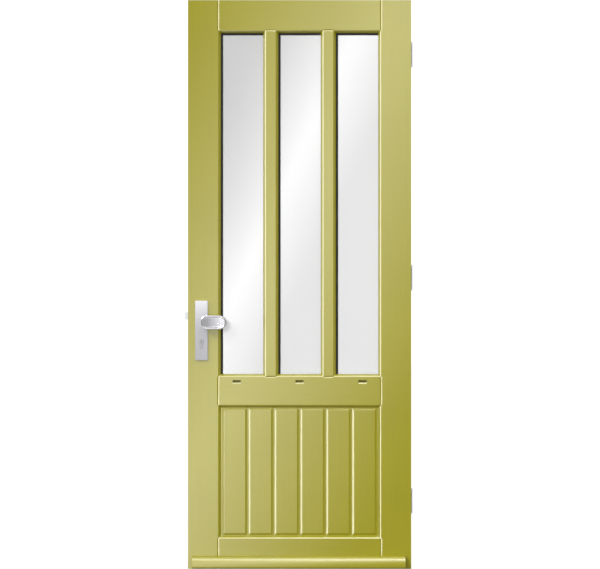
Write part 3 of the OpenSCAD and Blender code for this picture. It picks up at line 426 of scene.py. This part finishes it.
# Lever: a flat bar with rounded edges on a round neck, die-cast in aluminium as one piece and anodised.
# The neck turns in the inner plate. It is pushed on the square steel spindle and held by a grub screw
# from below, so the neck is drilled for both.
lever_low, lever_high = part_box("lever")
screw_low, screw_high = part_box("lever_screw")
spindle_low, spindle_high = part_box("spindle")
bar_t, bar_back_r, bar_front_r, stem_r, stem_rings, seat_gap = 0.012, 0.003, 0.0042, 0.009, 13, 0.0002
bar_half_l, bar_half_h = (lever_high.x - lever_low.x) / 2, (lever_high.z - lever_low.z) / 2
bar_x, bar_z = (lever_high.x + lever_low.x) / 2, (lever_high.z + lever_low.z) / 2
bar_y, stem_x = lever_high.y - bar_t, lever_low.x + bar_half_h
stem_l = bar_y + bar_t / 2 - lever_low.y
mesh = bmesh.new()
loft(mesh, [round_ring(stem_x, bar_z, stem_r, lever_low.y + stem_l * i / (stem_rings - 1))
            for i in range(stem_rings)])
stem = to_object(mesh, "lever_stem")
screw_y, hole_r = (screw_low.y + screw_high.y) / 2, (screw_high.y - screw_low.y) / 2 + seat_gap
screw_hole = [[(stem_x + x, screw_y + z, height) for x, y, z in round_ring(0, 0, hole_r, 0)]
              for height in (lever_low.z - seat_gap, bar_z)]
square_half, corners = (spindle_high.x - spindle_low.x) / 2 + seat_gap, ((1, 1), (1, -1), (-1, -1), (-1, 1))
square_hole = [[(stem_x + x * square_half, y, bar_z + z * square_half) for x, z in corners]
               for y in (lever_low.y - seat_gap, spindle_high.y + seat_gap)]
for hole in (screw_hole, square_hole):
    mesh = bmesh.new()
    loft(mesh, hole)
    drill = to_object(mesh, "lever_drill")
    cut = stem.modifiers.new("Cut", "BOOLEAN")
    cut.operation = "DIFFERENCE"
    cut.solver = "EXACT"
    cut.object = drill
    drilled = stem.evaluated_get(bpy.context.evaluated_depsgraph_get())
    drilled_mesh = bpy.data.meshes.new_from_object(drilled)
    stem.modifiers.remove(cut)
    stem.data = drilled_mesh
    bpy.data.objects.remove(drill)
bar = (bar_x, bar_z, bar_half_l, bar_half_h)
rings = rounded_edge(*bar, bar_y + bar_back_r, bar_back_r, (-90, 0), quarter_rings)
rings += rounded_edge(*bar, lever_high.y - bar_front_r, bar_front_r, (0, 90), half_rings)
mesh = bmesh.new()
mesh.from_mesh(stem.data)
loft(mesh, rings)
bpy.data.objects.remove(stem)
lever_cast = to_object(mesh, "lever_cast")
lever_cast.data.materials.append(satin_aluminium)
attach(lever_cast, "lever_set")
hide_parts("lever")
dress(["spindle", "lever_screw"], steel)


# Screws: turned countersunk heads with a pressed cross recess, on shanks with a rolled thread.
# They hold the hinges, the lock and its cylinder in the leaf's edges, and two long bolts clamp the handle
# plates together. Bright steel, with each screw where the frame has it.
screw_steps, rings_a_turn = 48, 6
shank_r, core_r, thread_pitch, thread_flank, tip_l = 0.0025, 0.0019, 0.0025, 2.4, 0.004
arm_share, wing_share, recess_d, recess_taper = 0.55, 0.13, 0.0018, 0.8
edge_r, cone_slope, hair = 0.00015, 0.8, 1e-6
screw_turn = [2 * math.pi * i / screw_steps for i in range(screw_steps)]


def solids_of(piece):
    mesh = bmesh.new()
    mesh.from_mesh(piece.data)
    bmesh.ops.remove_doubles(mesh, verts=mesh.verts, dist=hair)
    mesh.verts.index_update()
    seen, found = set(), []
    for start in mesh.verts:
        if start.index in seen:
            continue
        seen.add(start.index)
        front, points = [start], []
        while front:
            vert = front.pop()
            points.append(piece.matrix_world @ vert.co)
            for edge in vert.link_edges:
                other = edge.other_vert(vert)
                if other.index not in seen:
                    seen.add(other.index)
                    front.append(other)
        found.append(points)
    mesh.free()
    return found


def screw_rings(head_r, length, thread_l):
    cross = []
    for a in screw_turn:
        along, aside = sorted((abs(math.cos(a)), abs(math.sin(a))), reverse=True)
        cross.append(head_r * min(arm_share / along, wing_share / max(aside, hair)))
    rings = [([recess_taper * r for r in cross], recess_d), (cross, edge_r), ([r + edge_r for r in cross], 0)]
    cone_l = cone_slope * (head_r - shank_r)
    thread_from = length - tip_l - thread_l
    for r, depth in ((head_r - edge_r, 0), (head_r, edge_r), (shank_r, cone_l), (shank_r, thread_from)):
        rings.append(([r] * screw_steps, depth))
    for i in range(1, round(thread_l / thread_pitch * rings_a_turn)):
        depth = thread_from + i * thread_pitch / rings_a_turn
        turned = [(depth / thread_pitch - a / (2 * math.pi)) % 1 for a in screw_turn]
        crest = [max(1 - abs(share - 0.5) * thread_flank, 0) for share in turned]
        rings.append(([core_r + (shank_r - core_r) * c for c in crest], depth))
    rings.append(([core_r] * screw_steps, length - tip_l))
    return rings


def screw_point(middle, axis, at, r, a):
    point = list(middle)
    u, v = [k for k in range(3) if k != axis]
    point[u] += r * math.cos(a)
    point[v] += r * math.sin(a)
    point[axis] = at
    return point


def screws(name, axis, facing, thread_l):
    mesh = bmesh.new()
    for points in solids_of(nodes[name]):
        low = [min(point[k] for point in points) for k in range(3)]
        high = [max(point[k] for point in points) for k in range(3)]
        middle = [(near + far) / 2 for near, far in zip(low, high)]
        face = high[axis] if facing > 0 else low[axis]
        length = high[axis] - low[axis]
        across = 1 if axis == 0 else 0
        head_r = (high[across] - low[across]) / 2
        loops = []
        for radii, depth in screw_rings(head_r, length, thread_l):
            at = face - facing * depth
            loops.append([mesh.verts.new(screw_point(middle, axis, at, r, a))
                          for r, a in zip(radii, screw_turn)])
        recess, tip = [mesh.verts.new(screw_point(middle, axis, face - facing * depth, 0, 0))
                       for depth in (recess_d, length)]
        for i in range(screw_steps):
            j = (i + 1) % screw_steps
            mesh.faces.new((recess, loops[0][i], loops[0][j]))
            mesh.faces.new((tip, loops[-1][j], loops[-1][i]))
            for near, far in zip(loops, loops[1:]):
                mesh.faces.new((near[j], near[i], far[i], far[j]))
    bmesh.ops.recalc_face_normals(mesh, faces=mesh.faces)
    thing = to_object(mesh, name + "_turned")
    thing.data.materials.append(steel)
    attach(thing, "leaf")
    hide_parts(name)


screws("hinge_screws", axis=0, facing=1, thread_l=0.022)
screws("lock_screws", axis=0, facing=-1, thread_l=0.020)
screws("cylinder_screw", axis=0, facing=-1, thread_l=0.012)
screws("plate_bolts", axis=1, facing=1, thread_l=0.016)


# Floor: the pale seamless paper floor of the studio, rolled out far past the picture.
# It is white to the eye, matt, and still takes the door's soft shadow.
paper_half, paper_below, fibre_wide, shadow_share = 40.0, 0.0005, 0.002, 0.22
floor_mesh = bpy.data.meshes.new("studio_floor")
floor_mesh.from_pydata([(-paper_half, -paper_half, 0), (paper_half, -paper_half, 0),
                        (paper_half, paper_half, 0), (-paper_half, paper_half, 0)], [], [(0, 1, 2, 3)])
studio_floor = bpy.data.objects.new("studio_floor", floor_mesh)
studio_floor.location.z = -paper_below
bpy.context.scene.collection.objects.link(studio_floor)
paper, tree, shader = new_finish("white_paper_matt")
place = add(tree, "TexCoord")
fibre = add(tree, "TexNoise", {"Vector": place.outputs["Object"], "Scale": 1 / fibre_wide, "Detail": 2.0})
colour = add(tree, "Mix", {0: fibre.outputs["Fac"], 6: linear("#f4f4f3"), 7: linear("#ffffff")},
             data_type="RGBA")
matt = add(tree, "BsdfDiffuse", {"Color": colour.outputs[2]})
path = add(tree, "LightPath")
seen = add(tree, "Math", {0: path.outputs["Is Camera Ray"], 1: path.outputs["Is Transmission Ray"]},
           operation="MAXIMUM")
glow = add(tree, "Emission", {"Color": linear("#ffffff"), "Strength": seen.outputs[0]})
share = add(tree, "MixShader", {0: shadow_share, 1: glow.outputs[0], 2: matt.outputs[0]})
tree.links.new(share.outputs[0], tree.nodes["Material Output"].inputs["Surface"])
floor_mesh.materials.append(paper)
studio_floor.visible_shadow = False
studio_floor.visible_glossy = False


# Light: a white studio with one soft lamp at the upper left and pale walls all round. Reflections see the
# front darker than the other sides. Bevels that face up and to the left catch the walls and windows
# there, and the others stay darker.
fill_level, dim_front = 1.18, 0.14
pale_sides = (("Z", 0.45, 0.75, 1.2), ("X", -0.6, -0.85, 1.0), ("Z", -0.1, -0.3, 0.35))
world = bpy.data.worlds.new("white_studio")
bpy.context.scene.world = world
world.use_nodes = True
tree = world.node_tree
path = add(tree, "LightPath")
seen = add(tree, "Math", {0: path.outputs["Is Camera Ray"], 1: path.outputs["Is Transmission Ray"]},
           operation="MAXIMUM")
sky = add(tree, "TexCoord")
facing = add(tree, "SeparateXYZ", {0: sky.outputs["Generated"]})
around = add(tree, "MapRange", {"Value": facing.outputs["Y"], "From Min": 0.4, "From Max": 0.8,
                                "To Min": dim_front, "To Max": 1.0})
for axis, begins, ends, bright in pale_sides:
    side = add(tree, "MapRange", {"Value": facing.outputs[axis], "From Min": begins, "From Max": ends,
                                  "To Max": bright})
    around = add(tree, "Math", {0: around.outputs[0], 1: side.outputs[0]}, operation="MAXIMUM")
shine = add(tree, "Math", {0: path.outputs["Is Glossy Ray"], 1: around.outputs[0]}, operation="MULTIPLY")
matt_ray = add(tree, "Math", {0: 1.0, 1: path.outputs["Is Glossy Ray"]}, operation="SUBTRACT")
fill = add(tree, "Math", {0: matt_ray.outputs[0], 1: fill_level, 2: shine.outputs[0]},
           operation="MULTIPLY_ADD")
level = add(tree, "Math", {0: fill.outputs[0], 1: seen.outputs[0]}, operation="MAXIMUM")
tree.links.new(level.outputs[0], tree.nodes["Background"].inputs["Strength"])
tree.nodes["Background"].inputs["Color"].default_value = linear("#ffffff")


def shine_on(lamp, pieces):
    lit = bpy.data.collections.new(lamp.name)
    for piece in pieces:
        lit.objects.link(piece)
    lamp.light_linking.receiver_collection = lit


def far_lamp(name, towards, energy, wide, pieces=None, sheen_only=False):
    light = bpy.data.lights.new(name, "SUN")
    light.energy = energy
    light.angle = math.radians(wide)
    thing = bpy.data.objects.new(name, light)
    x, y, z = towards
    thing.rotation_euler = (math.atan2(math.hypot(x, y), z), 0, math.atan2(x, -y))
    thing.visible_transmission = False
    thing.visible_diffuse = not sheen_only
    bpy.context.scene.collection.objects.link(thing)
    if pieces:
        shine_on(thing, pieces)


enamels = (enamel_upright, enamel_lying)
timber = [nodes[n] for n in nodes if nodes[n].material_slots[0].material in enamels]
outer_glass = [nodes[n] for n in outer_panes]
smooth_face = timber + outer_glass
far_lamp("key", (-0.45, -0.80, 0.42), energy=1.35, wide=16)
far_lamp("key_on_glass", (-0.20, -0.96, 0.16), energy=3.6, wide=12, pieces=outer_glass)
far_lamp("back_wall", (0.35, 0.85, 0.40), energy=0.9, wide=110)
far_lamp("left_wall", (-0.98, -0.18, 0.05), energy=2.1, wide=56, pieces=smooth_face, sheen_only=True)
far_lamp("left_window", (-0.89, -0.44, 0.09), energy=0.92, wide=30, pieces=smooth_face, sheen_only=True)
far_lamp("ceiling", (-0.05, -0.15, 0.98), energy=1.4, wide=56, pieces=smooth_face, sheen_only=True)
far_lamp("roof_window", (0.0, -0.44, 0.90), energy=0.31, wide=20, pieces=smooth_face, sheen_only=True)
far_lamp("floor_glow", (0.0, -0.40, -0.92), energy=0.40, wide=70, pieces=[pull_dished], sheen_only=True)


# Gleam lamps: five soft screens in front that only reflections see, each as bright as its surface shows it.
# Two lean to the right and give enamel and glass their diagonal sheen. The others stand before the handle
# plate, the pull, and the edges of hinges and latch.
def gleam(name, pieces, level, centre, size, lean=0.0, ramps=()):
    light = bpy.data.lights.new(name, "AREA")
    light.shape = "RECTANGLE"
    light.size, light.size_y = size
    light.energy = level * math.pi * size[0] * size[1]
    light.use_nodes = True
    tree = light.node_tree
    spot = add(tree, "NewGeometry")
    split = add(tree, "SeparateXYZ", {0: spot.outputs["Parametric"]})
    strength = 1.0
    # Each ramp rises from the level dim at dark_at to full at bright_at, and the lowest ramp counts.
    for axis, dark_at, bright_at, dim, bend in ramps:
        rise = add(tree, "MapRange", {"Value": split.outputs[axis], "From Min": dark_at,
                                      "From Max": bright_at})
        bent = add(tree, "Math", {0: rise.outputs[0], 1: bend}, operation="POWER")
        shade = add(tree, "MapRange", {"Value": bent.outputs[0], "To Min": dim, "To Max": 1.0})
        strength = add(tree, "Math", {0: shade.outputs[0], 1: strength}, operation="MINIMUM").outputs[0]
    if ramps:
        tree.links.new(strength, tree.nodes["Emission"].inputs["Strength"])
    thing = bpy.data.objects.new(name, light)
    thing.location = centre
    thing.rotation_euler = (math.radians(90), lean, 0)
    thing.visible_camera = False
    thing.visible_diffuse = False
    thing.visible_transmission = False
    bpy.context.scene.collection.objects.link(thing)
    shine_on(thing, pieces)


lean, door_middle, door_screen = math.radians(24.8), 1.0575, (3.2, 5.2)
plate_pieces = [nodes["outer_plate"], nodes["cylinder_body"], nodes["outer_plug"]]
edge_pieces = [nodes[n] for n in flaps + ["latch_bolt", "hinge_pins"]]
gleam("enamel_gleam", timber, level=3.2, centre=(0, -1.2, door_middle), size=door_screen, lean=lean,
      ramps=(("X", 0.223, 0.476, 0.0, 1.08), ("X", 0.711, 0.476, 0.0, 1.22)))
gleam("glass_gleam", outer_glass, level=9.4, centre=(0, -3, door_middle), size=door_screen, lean=lean,
      ramps=(("X", 0.285, 0.425, 0.0, 1.5), ("X", 0.503, 0.425, 0.46, 1.0)))
gleam("plate_sky", plate_pieces, level=1.6, centre=(-0.36, -0.30, 1.00), size=(0.7, 0.9),
      ramps=(("Y", 0.44, 0.56, 0.2, 1.0),))
gleam("pull_side", [pull_dished], level=1.15, centre=(-0.32, -1.0, 0.95), size=(2.0, 2.4),
      ramps=(("X", 0.60, 0.30, 0.34, 1.0),))
gleam("edge_gleam", edge_pieces, level=1.1, centre=(0, -0.9, 1.06), size=(1.6, 2.6))


# Camera: straight in front of the door at half its height, far off with a long lens.
# The leaf fills the picture from top to bottom, and its lines stay parallel.
picture_w, picture_h = 600, 569
frame_h = 2.115
frame_w = frame_h * picture_w / picture_h
camera_far, camera_x, leaf_face_y, sensor_w = 15.5, 0.0015, -0.027, 36
camera = bpy.data.cameras.new("front")
camera.sensor_width = sensor_w
camera.lens = sensor_w * camera_far / frame_w
camera.clip_end = 100
viewer = bpy.data.objects.new("front", camera)
viewer.location = (camera_x, leaf_face_y - camera_far, frame_h / 2)
viewer.rotation_euler = (math.radians(90), 0, 0)
bpy.context.scene.collection.objects.link(viewer)
bpy.context.scene.camera = viewer
bpy.context.scene.view_settings.view_transform = "Standard"
